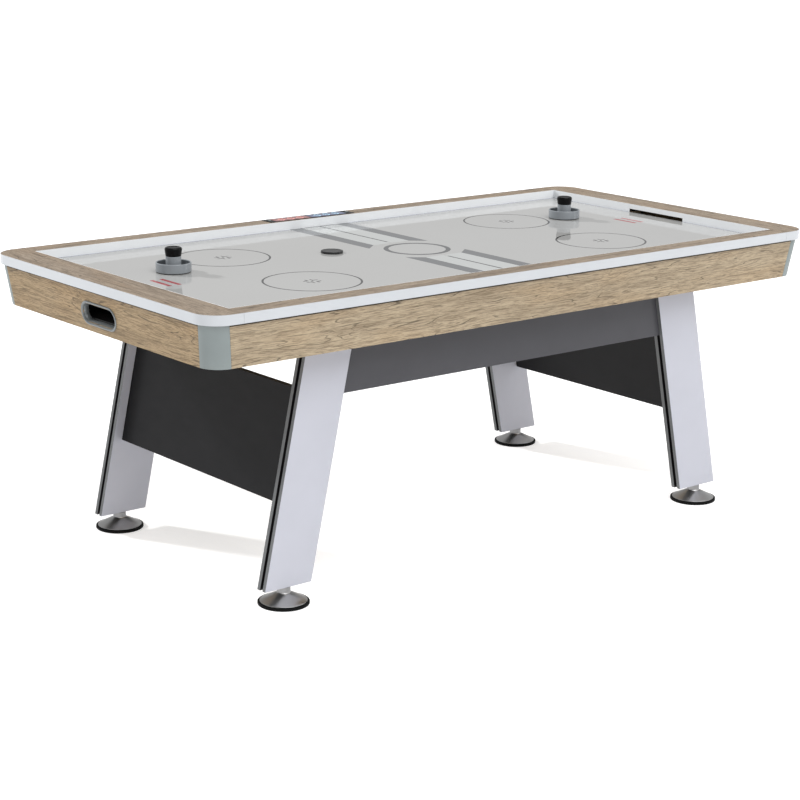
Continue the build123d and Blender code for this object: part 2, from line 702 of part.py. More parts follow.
# ---- scorer ------------------------------------------------------------------------------------
SCORER_TOP = RAIL_TOP + SCORER_PROUD
SCORER_HALF = SCORER_SIZE[0] / 2
WELL_HALF = WINDOW_SIZE[0] + SCORER_FRAME / 2
WINDOW_SHIFT = (WINDOW_SIZE[0] + SCORER_FRAME) / 2
WINDOW_MIDDLES = (SCORER_X - WINDOW_SHIFT, SCORER_X + WINDOW_SHIFT)
window_y = (SCORER_Y - WINDOW_SIZE[1] / 2, SCORER_Y + WINDOW_SIZE[1] / 2)
window_z = (SCORER_TOP - WINDOW_SIZE[2], SCORER_TOP)
with BuildPart() as scorer_housing:
    block(
        (SCORER_X - SCORER_HALF, SCORER_X + SCORER_HALF),
        (SCORER_Y - SCORER_SIZE[1] / 2, SCORER_Y + SCORER_SIZE[1] / 2),
        (SCORER_BOTTOM, SCORER_TOP),
    )
    block(
        (SCORER_X - WELL_HALF + WINDOW_LEDGE[0], SCORER_X + WELL_HALF - WINDOW_LEDGE[0]),
        (window_y[0] + WINDOW_LEDGE[1], window_y[1] - WINDOW_LEDGE[1]),
        (SCORER_BOTTOM + SCORER_FLOOR, window_z[0]),
        Mode.SUBTRACT,
    )
    for middle in WINDOW_MIDDLES:
        window_x = (middle - WINDOW_SIZE[0] / 2, middle + WINDOW_SIZE[0] / 2)
        block(window_x, window_y, window_z, Mode.SUBTRACT)
    for side in SIDES.values():
        x = SCORER_X + side * BUTTON_OFFSET
        well_z = (SCORER_TOP - BUTTON_WELL, SCORER_TOP)
        drum(x, SCORER_Y, BUTTON_RADIUS + RUNNING_GAP, well_z, Mode.SUBTRACT)
keep(scorer_housing, "scorer_housing")

for name, middle in zip(("red", "blue"), WINDOW_MIDDLES):
    with BuildPart() as scorer_window:
        window_x = (middle - WINDOW_SIZE[0] / 2, middle + WINDOW_SIZE[0] / 2)
        block(window_x, window_y, window_z)
    keep(scorer_window, f"scorer_window_{name}")

with BuildPart() as scorer_board:
    block(
        (SCORER_X - WELL_HALF + SCORER_BOARD_INSET[0], SCORER_X + WELL_HALF - SCORER_BOARD_INSET[0]),
        (window_y[0] + SCORER_BOARD_INSET[1], window_y[1] - SCORER_BOARD_INSET[1]),
        (SCORER_BOTTOM + SCORER_FLOOR, SCORER_BOTTOM + SCORER_FLOOR + SCORER_BOARD_THICK),
    )
keep(scorer_board, "scorer_board")

for name, side in SIDES.items():
    with BuildPart() as scorer_button:
        x = SCORER_X + side * BUTTON_OFFSET
        button_z = (SCORER_TOP - BUTTON_DEPTH, SCORER_TOP + BUTTON_PROUD)
        drum(x, SCORER_Y, BUTTON_RADIUS, button_z)
        chamfer(scorer_button.edges().group_by(Axis.Z)[-1], BUTTON_EDGE)
    keep(scorer_button, f"scorer_button_{name}")

# ---- blower, hung under the bottom board ---------------------------------------------------------
MOTOR_FOOT = BLOWER_BOTTOM + GRILLE_THICK
MOTOR_TOP = MOTOR_FOOT + MOTOR_HEIGHT
HUB = (MOTOR_TOP + HUB_GAPS[0], BOARD_BOTTOM - HUB_GAPS[1])
FLANGE_BOTTOM = BOARD_BOTTOM - BLOWER_FLANGE_THICK
with BuildPart() as blower_housing:
    inner = BLOWER_RADIUS - BLOWER_WALL
    turned(
        (
            (inner, BLOWER_BOTTOM),
            (BLOWER_RADIUS, BLOWER_BOTTOM),
            (BLOWER_RADIUS, FLANGE_BOTTOM),
            (BLOWER_FLANGE_RADIUS, FLANGE_BOTTOM),
            (BLOWER_FLANGE_RADIUS, BOARD_BOTTOM),
            (AIR_HOLE_RADIUS, BOARD_BOTTOM),
            (AIR_HOLE_RADIUS, FLANGE_BOTTOM),
            (inner, FLANGE_BOTTOM),
        ),
        0,
        0,
    )
    drum(0, 0, MOTOR_SEAT_RADIUS, (BLOWER_BOTTOM, MOTOR_FOOT))
    with BuildSketch(Plane.XY.offset(BLOWER_BOTTOM)):
        with PolarLocations((MOTOR_SEAT_RADIUS + inner) / 2, SPOKE_COUNT):
            Rectangle(inner - MOTOR_SEAT_RADIUS + BLOWER_WALL, SPOKE_WIDTH)
    extrude(amount=GRILLE_THICK)
keep(blower_housing, "blower_housing")

with BuildPart() as blower_motor:
    drum(0, 0, MOTOR_RADIUS, (MOTOR_FOOT, MOTOR_TOP))
    chamfer(blower_motor.edges().group_by(Axis.Z)[-1], MOTOR_EDGE)
    drum(0, 0, SHAFT_RADIUS, (MOTOR_TOP, HUB[1]))
keep(blower_motor, "blower_motor")

with BuildPart() as blower_impeller:
    disc_top = HUB[0] + IMPELLER_DISC
    drum(0, 0, HUB_RADIUS, HUB)
    drum(0, 0, IMPELLER_RADIUS, (HUB[0], disc_top))
    with BuildSketch(Plane.XY.offset(disc_top)):
        with PolarLocations(IMPELLER_RADIUS - BLADE_INSET, IMPELLER_BLADES):
            Rectangle(*BLADE_SIZE, rotation=BLADE_TURN)
    extrude(amount=HUB[1] - BLADE_DROP - disc_top)
    drum(0, 0, SHAFT_RADIUS + SHAFT_GAP, HUB, Mode.SUBTRACT)
keep(blower_impeller, "blower_impeller")

# ---- power inlet and its rocker switch ---------------------------------------------------------------
ROCKER_POCKET_SIZE = [length + 2 * ROCKER_ROOM for length in ROCKER_SIZE]


def rocker_pins(radius, mode=Mode.ADD):
    """The rocker's pivot pins, or with a larger radius the holes for them."""
    plane = inlet_plane()
    half_length = ROCKER_POCKET_SIZE[0] / 2 + PIN_REACH + (radius - PIN_RADIUS)
    start = plane.origin + plane.x_dir * (ROCKER_OFFSET - half_length) - plane.z_dir * PIVOT_DEPTH
    with BuildSketch(Plane(origin=start, x_dir=plane.y_dir, z_dir=plane.x_dir)) as profile:
        Circle(radius)
    extrude(profile.sketch, amount=2 * half_length, mode=mode)


with BuildPart() as power_inlet:
    plane = inlet_plane()
    rounded_slab(plane, INLET_PLATE[:2], INLET_CORNERS[0], INLET_PLATE[2])
    rounded_slab(plane, INLET_BODY[:2], INLET_CORNERS[1], -INLET_BODY[2])
    for offset, size, depth in (
        (SOCKET_OFFSET, SOCKET_SIZE[:2], SOCKET_SIZE[2]),
        (ROCKER_OFFSET, ROCKER_POCKET_SIZE, ROCKER_POCKET),
    ):
        pocket = plane.offset(INLET_PLATE[2])
        with BuildSketch(pocket) as opening:
            with Locations((offset, 0)):
                RectangleRounded(*size, INLET_CORNERS[1])
        extrude(opening.sketch, amount=-depth, mode=Mode.SUBTRACT)
    rocker_pins(PIN_RADIUS + RUNNING_GAP, Mode.SUBTRACT)
keep(power_inlet, "power_inlet")

with BuildPart() as power_switch:
    plane = inlet_plane()
    side_face = plane.origin + plane.x_dir * (ROCKER_OFFSET - ROCKER_SIZE[0] / 2)
    section = Plane(origin=side_face, x_dir=plane.y_dir, z_dir=plane.x_dir)
    half = ROCKER_SIZE[1] / 2
    foot = half - ROCKER_ROOM * 2
    top = INLET_PLATE[2] + ROCKER_PROUD
    with BuildSketch(section) as profile:
        with BuildLine():
            face = ThreePointArc((-half, top), (0, top + ROCKER_ARCH), (half, top))
            Polyline(face @ 1, (foot, -ROCKER_DEPTH), (-foot, -ROCKER_DEPTH), face @ 0)
        make_face()
    extrude(profile.sketch, amount=ROCKER_SIZE[0])
    rocker_pins(PIN_RADIUS)
keep(power_switch, "power_switch")
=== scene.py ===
import json
from math import cos, pi, radians, sin, tau

import bmesh
import bpy
from mathutils import Matrix, Vector

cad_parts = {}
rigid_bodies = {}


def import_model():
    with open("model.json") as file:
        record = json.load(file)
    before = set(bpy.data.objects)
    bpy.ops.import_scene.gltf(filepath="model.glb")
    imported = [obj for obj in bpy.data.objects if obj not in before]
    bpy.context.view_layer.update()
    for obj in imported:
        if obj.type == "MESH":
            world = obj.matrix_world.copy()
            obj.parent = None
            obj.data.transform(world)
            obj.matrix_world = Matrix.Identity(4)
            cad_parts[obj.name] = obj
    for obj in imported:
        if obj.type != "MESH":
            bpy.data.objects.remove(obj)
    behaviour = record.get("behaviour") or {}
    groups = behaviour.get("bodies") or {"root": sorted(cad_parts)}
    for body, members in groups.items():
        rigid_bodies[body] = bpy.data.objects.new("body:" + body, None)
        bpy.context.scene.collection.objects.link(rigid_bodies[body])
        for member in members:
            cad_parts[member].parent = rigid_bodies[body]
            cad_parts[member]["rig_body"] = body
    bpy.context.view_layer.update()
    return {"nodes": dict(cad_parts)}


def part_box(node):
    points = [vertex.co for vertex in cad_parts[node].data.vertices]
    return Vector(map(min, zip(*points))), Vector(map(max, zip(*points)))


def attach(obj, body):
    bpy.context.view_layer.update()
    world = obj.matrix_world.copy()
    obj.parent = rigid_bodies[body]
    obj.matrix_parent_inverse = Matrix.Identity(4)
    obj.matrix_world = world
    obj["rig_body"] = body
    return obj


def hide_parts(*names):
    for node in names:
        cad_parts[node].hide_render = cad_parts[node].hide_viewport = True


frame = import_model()

# Air hockey table. Metres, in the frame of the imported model: origin on the floor under
# the middle of the table, +X along it, +Y towards the scorer, +Z up.

NODES = frame["nodes"]
CORNERS = ("near_left", "near_right", "far_left", "far_right")
ENDS = ("left", "right")
MM = 0.001
HAIR = 0.02 * MM    # keeps faces of two pieces from lying in one plane

# ---- places read from the frame ------------------------------------------------------
_, FIELD_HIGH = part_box("playfield")
FIELD_TOP = FIELD_HIGH.z
_, LINER_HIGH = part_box("side_liners")
WELL_X = LINER_HIGH.x
RAIL_TOP = LINER_HIGH.z


# ---- shader helpers ------------------------------------------------------------------
class Paint:
    """A procedural material: a Principled shader and the nodes that feed it."""

    def __init__(self, name, **sockets):
        self.material = bpy.data.materials.new(name)
        self.material.use_nodes = True
        self.tree = self.material.node_tree
        self.shader = next(n for n in self.tree.nodes if n.type == "BSDF_PRINCIPLED")
        for socket, value in sockets.items():
            self.set(self.shader, socket.replace("_", " "), value)
        self.place = self.node("ShaderNodeTexCoord").outputs["Object"]

    def set(self, node, socket, value):
        if isinstance(value, bpy.types.NodeSocket):
            self.tree.links.new(value, node.inputs[socket])
        else:
            if isinstance(value, tuple) and len(value) == 3 and node.inputs[socket].type == "RGBA":
                value = (*value, 1)
            node.inputs[socket].default_value = value

    def node(self, kind, settings=None, **sockets):
        made = self.tree.nodes.new(kind)
        for key, value in (settings or {}).items():
            setattr(made, key, value)
        for socket, value in sockets.items():
            key = int(socket[1:]) if socket[0] == "n" and socket[1:].isdigit() else socket
            self.set(made, key if isinstance(key, int) else key.replace("_", " "), value)
        return made

    def math(self, operation, a, b):
        return self.node("ShaderNodeMath", {"operation": operation}, n0=a, n1=b).outputs[0]

    def stretched(self, scale, shift=(0, 0, 0), source=None):
        """The object's own coordinates, or the source's, scaled and shifted."""
        vector = source or self.place
        made = self.node("ShaderNodeMapping", Vector=vector, Scale=scale, Location=shift)
        return made.outputs[0]

    def noise(self, vector, scale=1.0, detail=3.0, roughness=0.5, distortion=0.0):
        made = self.node(
            "ShaderNodeTexNoise",
            Vector=vector,
            Scale=scale,
            Detail=detail,
            Roughness=roughness,
            Distortion=distortion,
        )
        return made.outputs["Fac"]

    def ramp(self, factor, stops):
        """Colour ramp; a stop is (place, colour)."""
        made = self.node("ShaderNodeValToRGB", Fac=factor)
        elements = made.color_ramp.elements
        while len(elements) < len(stops):
            elements.new(0.5)
        for element, (place, colour) in zip(elements, stops):
            element.position = place
            element.color = (*colour, 1)
        return made.outputs["Color"]

    def band(self, value, low, high):
        """0 below low, 1 above high, smooth between."""
        made = self.node(
            "ShaderNodeMapRange",
            {"interpolation_type": "SMOOTHSTEP"},
            Value=value,
            From_Min=low,
            From_Max=high,
        )
        return made.outputs["Result"]

    def mix(self, factor, a, b):
        made = self.node("ShaderNodeMix", {"data_type": "RGBA"})
        self.set(made, 0, factor)
        self.set(made, 6, a)
        self.set(made, 7, b)
        return made.outputs[2]

    def fade(self, value, low, high):
        """1 below low, 0 above high."""
        return self.math("SUBTRACT", 1.0, self.band(value, low, high))

    def lay(self, colour, over, mask, strength):
        """Colour with another laid over it where the mask is 1, as strongly as said."""
        return self.mix(self.math("MULTIPLY", mask, strength), colour, over)

    def bump(self, height, distance, strength):
        made = self.node("ShaderNodeBump", Height=height, Distance=distance, Strength=strength)
        return made.outputs["Normal"]

    def finish(self, **sockets):
        for socket, value in sockets.items():
            self.set(self.shader, socket.replace("_", " "), value)
        return self.material


def grey(value):
    return (value, value, value)


# ---- materials -----------------------------------------------------------------------
def oak(name, along, light, dark, seed, joint=None):
    """Rustic oak-look laminate with its grain along X or Y: figure lines, fibres, cracks, knots.

    Above the height joint it is in the shade of the gap under the rail.
    """
    p = Paint(name)
    turn = 0.0 if along == "X" else pi / 2
    grain = p.node("ShaderNodeMapping", Vector=p.place, Rotation=(0, 0, turn)).outputs[0]
    shift = (seed * 1.7, seed * 0.9, seed * 0.4)

    def layer(length, height, detail=3.0, roughness=0.6, distortion=0.0, source=None, offset=0.0):
        """Noise drawn out along the grain; length and height are its cell size."""
        moved = tuple(value + offset for value in shift)
        vector = p.stretched((1 / length, 1 / height, 1 / height), moved, source or flow)
        return p.noise(vector, 1.0, detail, roughness, distortion)

    sway = p.noise(p.stretched((2.8, 6.0, 6.0), shift, grain), 1.0, 2.0)
    swayed = p.node("ShaderNodeVectorMath", {"operation": "MULTIPLY_ADD"}, n0=sway)
    p.set(swayed, 1, (0.0, 0.035, 0.035))
    p.tree.links.new(grain, swayed.inputs[2])
    flow = swayed.outputs[0]

    shadow = tuple(c * 0.3 for c in dark)
    middle = tuple((a + b) / 2 for a, b in zip(light, dark))
    broad = layer(0.5, 0.03, 4.0, 0.6, 0.15)
    colour = p.ramp(broad, [(0.28, middle), (0.5, light), (0.72, tuple(c * 1.08 for c in light))])
    patch = layer(0.35, 0.09, 2.0, source=grain, offset=3.0)
    warm = tuple(c * k for c, k in zip(light, (1.06, 0.95, 0.82)))
    colour = p.lay(colour, warm, p.band(patch, 0.45, 0.7), 0.45)
    # Growth lines, close together, from several millimetres thick down to single fibres.
    streak = layer(0.16, 0.0065, 4.0, 0.6, 0.1)
    colour = p.lay(colour, dark, p.band(streak, 0.47, 0.62), 0.3)
    thin = layer(0.07, 0.0028, 2.0, 0.5, 0.1, offset=4.0)
    colour = p.lay(colour, dark, p.band(thin, 0.53, 0.59), 0.52)
    pale_streak = layer(0.16, 0.0036, 3.0, 0.6, 0.1, offset=7.0)
    colour = p.lay(colour, light, p.band(pale_streak, 0.54, 0.68), 0.45)
    fibre = layer(0.02, 0.0016, 2.0, 0.6)
    colour = p.lay(colour, dark, p.band(fibre, 0.5, 0.6), 0.42)

    # Figure: contour lines of a slow field, long and wavy, with a few long breaks.
    field = layer(0.8, 0.055, 3.0, 0.4, 0.1, offset=11.0)
    folded = p.math("PINGPONG", p.math("MULTIPLY", field, 20.0), 0.5)
    lines = p.fade(folded, 0.02, 0.09)
    broken = p.band(layer(0.18, 0.02, 3.0, 0.6, offset=5.0), 0.36, 0.62)
    lines = p.math("MULTIPLY", lines, broken)
    colour = p.lay(colour, shadow, lines, 0.72)
    # Thin dark checks in the wood, denser in some places.
    dashes = p.band(layer(0.07, 0.0026, 2.0, 0.5, 0.1, offset=2.0), 0.64, 0.7)
    dashes = p.math("MULTIPLY", dashes, p.band(layer(0.3, 0.04, 1.0, offset=9.0), 0.36, 0.56))
    colour = p.lay(colour, shadow, dashes, 0.65)
    # A few knots, drawn out along the grain.
    cells = p.node(
        "ShaderNodeTexVoronoi",
        {"feature": "F1"},
        Vector=p.stretched((2.9, 12.0, 12.0), shift, flow),
        Scale=1.0,
        Randomness=1.0,
    )
    lucky = p.node("ShaderNodeSeparateColor", Color=cells.outputs["Color"]).outputs[0]
    chosen = p.band(lucky, 0.86, 0.88)
    core = p.fade(cells.outputs["Distance"], 0.02, 0.07)
    halo = p.fade(cells.outputs["Distance"], 0.04, 0.3)
    colour = p.lay(colour, dark, p.math("MULTIPLY", halo, chosen), 0.35)
    colour = p.lay(colour, shadow, p.math("MULTIPLY", core, chosen), 0.75)
    if joint is not None:
        height = p.node("ShaderNodeSeparateXYZ", Vector=p.place).outputs["Z"]
        shade = tuple(c * 0.6 for c in shadow)
        colour = p.mix(p.band(height, joint - 1.2 * MM, joint), colour, shade)

    grooves = p.math("MAXIMUM", p.math("MULTIPLY", lines, 0.7), dashes)
    depth = p.math("SUBTRACT", p.math("ADD", fibre, p.math("MULTIPLY", streak, 0.6)), grooves)
    rough = p.math("ADD", 0.46, p.math("MULTIPLY", streak, 0.2))
    return p.finish(
        Base_Color=colour,
        Roughness=rough,
        Specular_IOR_Level=0.3,
        Normal=p.bump(depth, 0.15 * MM, 0.7),
    )


def moulded(name, colour, roughness, grain=0.05, scale=2600.0, spread=0.05, **sockets):
    """Plastic, paint or rubber: fine moulded texture, faint tone variation and handling marks."""
    p = Paint(name, **sockets)
    cloud = p.noise(p.place, 9.0, 3.0)
    pale = tuple(min(1.0, c * (1 + spread)) for c in colour)
    deep = tuple(c * (1 - spread) for c in colour)
    tone = p.ramp(cloud, [(0.3, deep), (0.7, pale)])
    skin = p.noise(p.place, scale, 2.0, 0.6)
    smear = p.noise(p.stretched((14.0, 14.0, 38.0)), 1.0, 3.0, 0.6)
    rough = p.math("ADD", roughness - 0.05, p.math("MULTIPLY", smear, 0.12))
    return p.finish(Base_Color=tone, Roughness=rough, Normal=p.bump(skin, grain * MM, 0.5))


def field_laminate():
    """Glossy printed sheet with its grid of fine air holes."""
    p = Paint("playfield_laminate", IOR=1.75)
    cloud = p.noise(p.place, 3.0, 2.0)
    tone = p.ramp(cloud, [(0.3, (0.405, 0.405, 0.397)), (0.7, (0.418, 0.418, 0.411))])
    spots = p.node("ShaderNodeVectorMath", {"operation": "FRACTION"})
    p.set(spots, 0, p.stretched((1 / HOLE_PITCH, 1 / HOLE_PITCH, 0), (0.5, 0.5, 0.0)))
    away = p.node("ShaderNodeVectorMath", {"operation": "DISTANCE"}, n0=spots.outputs[0])
    p.set(away, 1, (0.5, 0.5, 0.0))
    rim = HOLE_RADIUS / HOLE_PITCH
    hole = p.fade(away.outputs["Value"], 0.7 * rim, rim)
    colour = p.mix(hole, tone, grey(0.05))
    smear = p.noise(p.stretched((3.0, 5.0, 5.0)), 1.0, 4.0, 0.6)
    rough = p.math("ADD", 0.015, p.math("MULTIPLY", smear, 0.025))
    ripple = p.noise(p.place, 14.0, 2.0)
    return p.finish(Base_Color=colour, Roughness=rough, Normal=p.bump(ripple, 0.02 * MM, 0.15))


def bare_board(name, colour):
    """Particle board: flakes of several tones."""
    p = Paint(name, Roughness=0.8)
    flakes = p.node("ShaderNodeTexVoronoi", Vector=p.place, Scale=420.0)
    tone = p.node("ShaderNodeSeparateColor", Color=flakes.outputs["Color"]).outputs[0]
    dark = tuple(c * 0.62 for c in colour)
    coat = p.mix(p.noise(p.place, 40.0, 3.0), p.ramp(tone, [(0.0, dark), (1.0, colour)]), colour)
    return p.finish(Base_Color=coat, Normal=p.bump(tone, 0.15 * MM, 0.4))


def felt():
    p = Paint("black_felt", Roughness=0.95)
    fuzz = p.noise(p.place, 1800.0, 4.0, 0.8)
    tone = p.ramp(fuzz, [(0.3, grey(0.008)), (0.75, grey(0.035))])
    return p.finish(Base_Color=tone, Normal=p.bump(fuzz, 0.3 * MM, 0.9), Sheen_Weight=0.3)


def spun_metal(name, centre, colour, roughness):
    """Satin metal turned about an upright axis: fine rings round the centre."""
    p = Paint(name, Metallic=1.0, Anisotropic=0.75)
    local = p.node("ShaderNodeVectorMath", {"operation": "SUBTRACT"}, n0=p.place)
    p.set(local, 1, (centre[0], centre[1], 0.0))
    flat = p.node("ShaderNodeVectorMath", {"operation": "MULTIPLY"}, n0=local.outputs[0])
    p.set(flat, 1, (1.0, 1.0, 0.0))
    reach = p.node("ShaderNodeVectorMath", {"operation": "LENGTH"}, n0=flat.outputs[0]).outputs["Value"]
    rings = p.node("ShaderNodeCombineXYZ", X=p.math("MULTIPLY", reach, 2600.0)).outputs[0]
    groove = p.noise(rings, 1.0, 2.0, 0.6)
    smear = p.noise(p.place, 30.0, 3.0)
    tangent = p.node("ShaderNodeVectorMath", {"operation": "CROSS_PRODUCT"}, n0=flat.outputs[0])
    p.set(tangent, 1, (0.0, 0.0, 1.0))
    shade = p.ramp(groove, [(0.35, tuple(c * 0.86 for c in colour)), (0.65, colour)])
    rough = p.math("ADD", roughness - 0.06, p.math("MULTIPLY", smear, 0.14))
    return p.finish(
        Base_Color=shade,
        Roughness=rough,
        Normal=p.bump(groove, 0.02 * MM, 0.4),
        Tangent=tangent.outputs[0],
    )


def zinc(name):
    p = Paint(name, Metallic=1.0)
    grain = p.node("ShaderNodeTexVoronoi", Vector=p.place, Scale=260.0)
    tone = p.node("ShaderNodeSeparateColor", Color=grain.outputs["Color"]).outputs[0]
    rough = p.math("ADD", 0.28, p.math("MULTIPLY", tone, 0.16))
    return p.finish(Base_Color=p.ramp(tone, [(0.0, grey(0.5)), (1.0, grey(0.62))]), Roughness=rough)


def circuit_green():
    p = Paint("circuit_board", Roughness=0.35)
    grid = p.node("ShaderNodeTexBrick", Vector=p.place, Scale=160.0)
    for socket, colour in (("Color1", (0.01, 0.11, 0.04)), ("Color2", (0.012, 0.14, 0.05))):
        p.set(grid, socket, colour)
    p.set(grid, "Mortar", (0.03, 0.25, 0.1))
    return p.finish(Base_Color=grid.outputs["Color"])


def tinted_window(name, colour, glow):
    """Clear tinted window over a lit display."""
    p = Paint(name, IOR=1.49, Roughness=0.12)
    cells = p.noise(p.place, 160.0, 2.0)
    tone = p.ramp(cells, [(0.35, tuple(c * 0.8 for c in colour)), (0.7, colour)])
    return p.finish(Base_Color=tone, Emission_Color=colour, Emission_Strength=glow, Coat_Weight=0.6)


def lamp(name, colour, strength):
    p = Paint(name, Roughness=0.3)
    cells = p.noise(p.place, 900.0, 1.0)
    tone = p.ramp(cells, [(0.3, tuple(c * 0.9 for c in colour)), (0.7, colour)])
    return p.finish(Base_Color=tone, Emission_Color=colour, Emission_Strength=strength)


APRON_LEAN = radians(7.405)         # the aprons lean in towards their bottom edges
RETURN_HEIGHT = 723.0 * MM
RETURN_FACE_X = 1048.32 * MM        # outer face of the end aprons at that height
RETURN_FLANGE = (170.0 * MM, 64.0 * MM)
HOLE_PITCH = 25 * MM
HOLE_RADIUS = 0.4 * MM

OAK_LIGHT, OAK_DARK = (0.39, 0.314, 0.214), (0.15, 0.109, 0.067)
END_OAK_LIGHT, END_OAK_DARK = (0.33, 0.24, 0.137), (0.115, 0.076, 0.039)
TOP_LIGHT, TOP_DARK = (0.335, 0.271, 0.207), (0.1, 0.073, 0.05)
SOFT = {"Specular_IOR_Level": 0.25}      # how strongly a paint mirrors; 0.5 is usual
DULL = {"Specular_IOR_Level": 0.14}
FAINT = {"Specular_IOR_Level": 0.12}
MATT = {"Specular_IOR_Level": 0.08}
RED_WINDOW, BLUE_WINDOW = (0.3, 0.02, 0.02), (0.008, 0.045, 0.2)
RED_LAMP, BLUE_LAMP = (0.9, 0.4, 0.34), (0.45, 0.75, 0.9)
WINDOW_GLOW, LAMP_GLOW = 0.07, 0.45
JOINT_SHADE_HEIGHT = FIELD_TOP - 5.4 * MM
# A moulded paint has a colour, roughness, grain in mm, grain scale and spread of its tone.
PAINTS = {
    "oak_apron_x": oak("oak_apron_x", "X", OAK_LIGHT, OAK_DARK, 1.0, JOINT_SHADE_HEIGHT),
    "oak_apron_y": oak("oak_apron_y", "Y", END_OAK_LIGHT, END_OAK_DARK, 2.3, JOINT_SHADE_HEIGHT),
    "oak_top_x": oak("oak_top_x", "X", TOP_LIGHT, TOP_DARK, 3.9),
    "oak_top_y": oak("oak_top_y", "Y", TOP_LIGHT, TOP_DARK, 5.2),
    "field": field_laminate(),
    "white": moulded("white_edging", (0.485, 0.505, 0.53), 0.34, 0.03, 900.0, 0.015),
    # The liners: the edge bands' white painted brighter, as painted light for the light their low
    # corner lacks.
    "liner": moulded("white_liner_painted_light", (0.8, 0.82, 0.84), 0.3, 0.03, 900.0, 0.015),
    "grey": moulded("grey_plastic", (0.215, 0.245, 0.245), 0.46, 0.05, **SOFT),
    "pale": moulded("pale_board", (0.447, 0.455, 0.508), 0.46, 0.04, 1500.0, 0.02, **SOFT),
    "pale_edge": moulded("pale_board_edge", (0.12, 0.125, 0.13), 0.5, 0.05, 1500.0, **SOFT),
    "charcoal": moulded("charcoal_board", (0.064, 0.064, 0.072), 0.5, 0.05, 1500.0, 0.04, **SOFT),
    # The end panels' board: the stretchers' charcoal painted much darker, as painted shade under the
    # cabinet.
    "charcoal_in_shade": moulded("charcoal_board_in_shade", (0.009, 0.009, 0.0102), 0.5, 0.05, 1500.0, 0.04, **DULL),
    "black": moulded("black_plastic", (0.008, 0.008, 0.0085), 0.42, 0.06, **SOFT),
    "gloss_black": moulded("gloss_black_plastic", (0.004, 0.004, 0.0045), 0.28, 0.02, **FAINT),
    "rubber": moulded("black_rubber", (0.005, 0.005, 0.005), 0.62, 0.1, 1200.0, **MATT),
    "board": bare_board("bare_board", (0.38, 0.28, 0.17)),
    "felt": felt(),
    "zinc": zinc("zinc_steel"),
    "bezel": moulded("bezel_grey", (0.19, 0.205, 0.21), 0.34, 0.01, 900.0, 0.03, Metallic=0.4),
    "circuit": circuit_green(),
    "red_window": tinted_window("red_window", RED_WINDOW, WINDOW_GLOW),
    "blue_window": tinted_window("blue_window", BLUE_WINDOW, WINDOW_GLOW),
    "red_lamp": lamp("red_lamp", RED_LAMP, LAMP_GLOW),
    "blue_lamp": lamp("blue_lamp", BLUE_LAMP, LAMP_GLOW),
    "ink_grey": moulded("grey_ink", (0.112, 0.117, 0.124), 0.05, 0.01, 60.0, 0.02, IOR=1.5),
    "ink_ring": moulded("ring_ink", (0.062, 0.066, 0.071), 0.05, 0.01, 60.0, 0.02, IOR=1.5),
    "ink_pale": moulded("pale_ink", (0.475, 0.49, 0.485), 0.05, 0.01, 60.0, 0.01, IOR=1.5),
    # The seams: a dark line along the joint of liner and field, painted shade in that corner.
    "seam_shade": moulded("seam_shade_paint", (0.2, 0.23, 0.29), 0.3, 0.01, 60.0, 0.02),
    "ink_dark": moulded("dark_ink", (0.017, 0.018, 0.02), 0.05, 0.01, 60.0, 0.02, IOR=1.5),
    "ink_red": moulded("red_ink", (0.36, 0.03, 0.035), 0.05, 0.01, 60.0, 0.02, IOR=1.5),
    "pusher_grey": moulded("pusher_grey", (0.25, 0.27, 0.29), 0.2, 0.02, 1200.0, 0.02),
    # The inside of the pusher's bowl: the same grey plastic painted darker, as painted shade.
    "pusher_painted_shade": moulded("pusher_painted_shade", (0.1, 0.11, 0.12), 0.25, 0.02, 1200.0, 0.02),
    "puck_black": moulded("puck_black", (0.008, 0.008, 0.009), 0.3, 0.04),
}


# ---- mesh helpers --------------------------------------------------------------------
def new_object(name, mesh):
    made = bpy.data.objects.new(name, mesh)
    bpy.context.scene.collection.objects.link(made)
    return made


def smooth(mesh, angle=35.0):
    for polygon in mesh.polygons:
        polygon.use_smooth = True
    mesh.set_sharp_from_angle(angle=radians(angle))


def body_of(node):
    return NODES[node]["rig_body"]


def refine(node, paints, bevel=0.6 * MM, choose=None):
    """A cleaned copy of a CAD node with small rounded edges, which stands for the node."""
    mesh = NODES[node].data.copy()
    shape = bmesh.new()
    shape.from_mesh(mesh)
    bmesh.ops.remove_doubles(shape, verts=shape.verts, dist=1e-6)
    bmesh.ops.dissolve_limit(
        shape, angle_limit=radians(0.4), verts=shape.verts, edges=shape.edges
    )
    shape.to_mesh(mesh)
    shape.free()
    mesh.materials.clear()
    for paint in paints:
        mesh.materials.append(PAINTS[paint])
    for polygon in mesh.polygons:
        polygon.material_index = choose(polygon) if choose else 0
    smooth(mesh)
    made = new_object(f"{node}_finished", mesh)
    if bevel:
        rounding = made.modifiers.new("rounded_edges", "BEVEL")
        rounding.width = bevel
        rounding.segments = 2
        rounding.limit_method = "ANGLE"
        rounding.angle_limit = radians(35)
        rounding.harden_normals = True
        rounding.use_clamp_overlap = True
    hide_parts(node)
    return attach(made, body_of(node))


def solid(name, shape, paints, bend):
    """A new object from the shape, smooth where it bends by less than so many degrees."""
    mesh = bpy.data.meshes.new(name)
    shape.to_mesh(mesh)
    shape.free()
    for paint in paints:
        mesh.materials.append(paint if isinstance(paint, bpy.types.Material) else PAINTS[paint])
    smooth(mesh, bend)
    return new_object(name, mesh)


